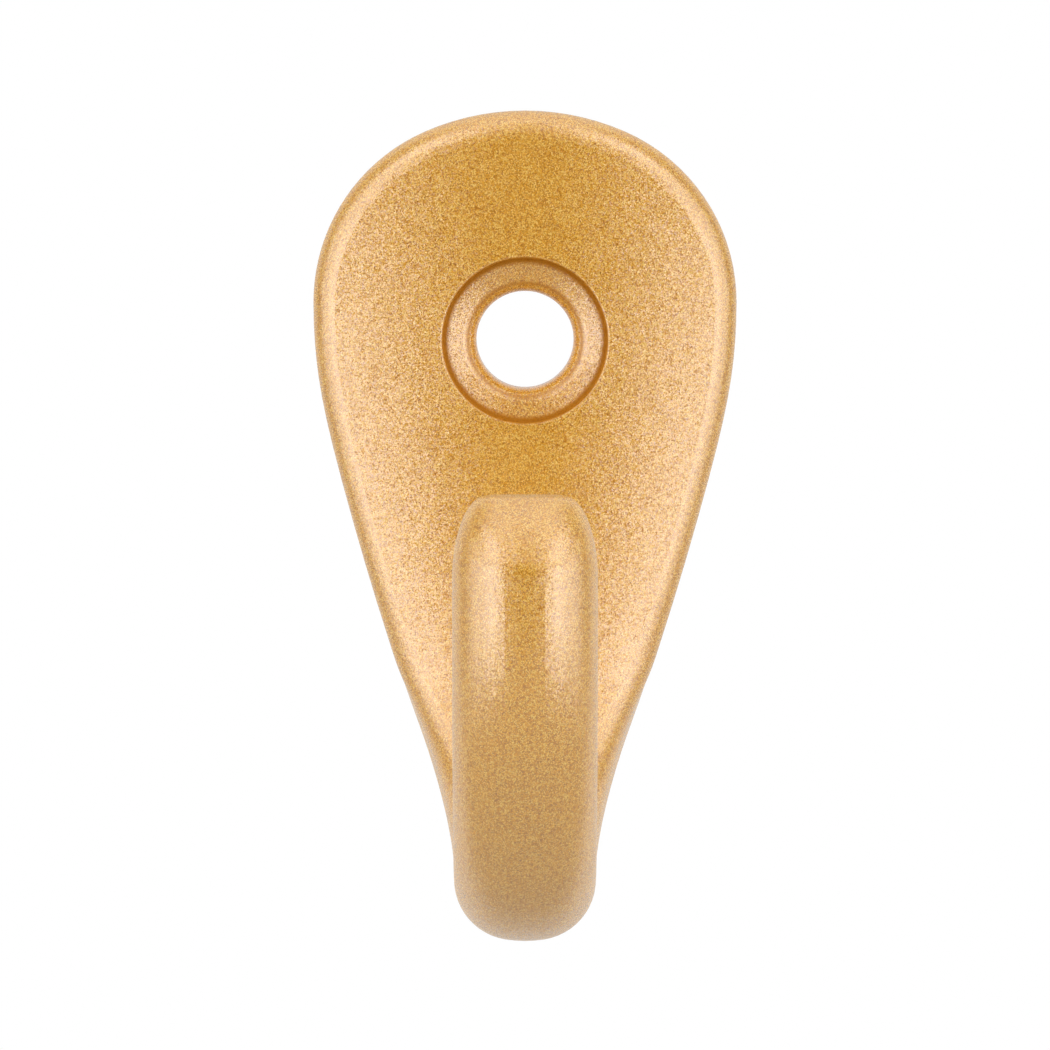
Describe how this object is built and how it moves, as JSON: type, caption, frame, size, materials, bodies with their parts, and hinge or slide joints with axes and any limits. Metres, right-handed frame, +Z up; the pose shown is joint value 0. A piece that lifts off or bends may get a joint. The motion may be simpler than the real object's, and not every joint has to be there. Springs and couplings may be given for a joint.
{
  "type": "wall hook",
  "caption": "Single wall hook: a drop-shaped plate held by one screw in a shallow round recess, narrowing into a strap that turns forward and up into a plain rounded arm with a sloped tip.",
  "frame": {"origin": "axis of the screw hole, in the plane of the plate's flat back, which is the wall", "axes": "+X to the right seen from the front, +Y into the wall, so the hook faces -Y, +Z up along the hook"},
  "size_m": [0.02, 0.0289, 0.0383],
  "materials": {
    "gold_paint": "satin gold metallic paint with fine flake over a zinc alloy casting"
  },
  "bodies": {
    "root": {"hook": "gold_paint"}
  },
  "joints": []
}
